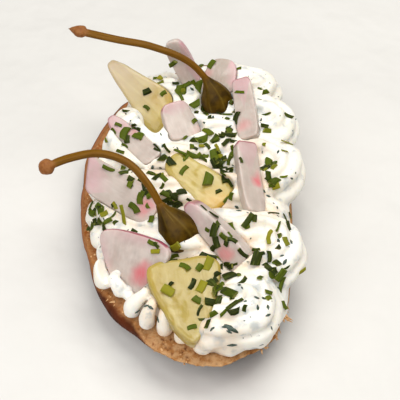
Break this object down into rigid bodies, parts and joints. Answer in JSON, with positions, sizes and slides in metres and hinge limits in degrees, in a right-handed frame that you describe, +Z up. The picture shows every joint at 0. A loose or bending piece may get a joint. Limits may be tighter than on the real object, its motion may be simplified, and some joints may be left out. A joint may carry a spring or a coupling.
{
  "type": "open sandwich",
  "caption": "Open sandwich: a toasted diagonal bread slice with piped herb cream, radish slices, yellow fruit wedges and long-stemmed caper berries.",
  "frame": {"origin": "middle of the bread's flat underside, on the surface that it rests on", "axes": "+Z up out of the topping, +Y along the slice's long axis towards its sloping back end"},
  "size_m": [0.0743, 0.1323, 0.0417],
  "materials": {
    "toasted_bread": "dry, porous, toasted crumb with a browned crust",
    "herb_cream": "soft satin cream cheese with herb flecks",
    "radish": "moist satin flesh with a thin magenta skin",
    "yellow_fruit": "wet, fibrous, slightly see-through flesh",
    "caper_berry": "wet olive-brown pickled skin"
  },
  "bodies": {
    "root": {"bread_slice": "toasted_bread", "herb_cream": "herb_cream", "radish_near": "radish", "radish_left": "radish", "radish_left_back": "radish", "radish_back": "radish", "radish_middle": "radish", "radish_far": "radish", "radish_right_back": "radish", "radish_right": "radish", "radish_centre": "radish", "fruit_near": "yellow_fruit", "fruit_middle": "yellow_fruit", "fruit_far": "yellow_fruit", "caper_berry_near": "caper_berry", "caper_berry_far": "caper_berry"}
  },
  "joints": []
}
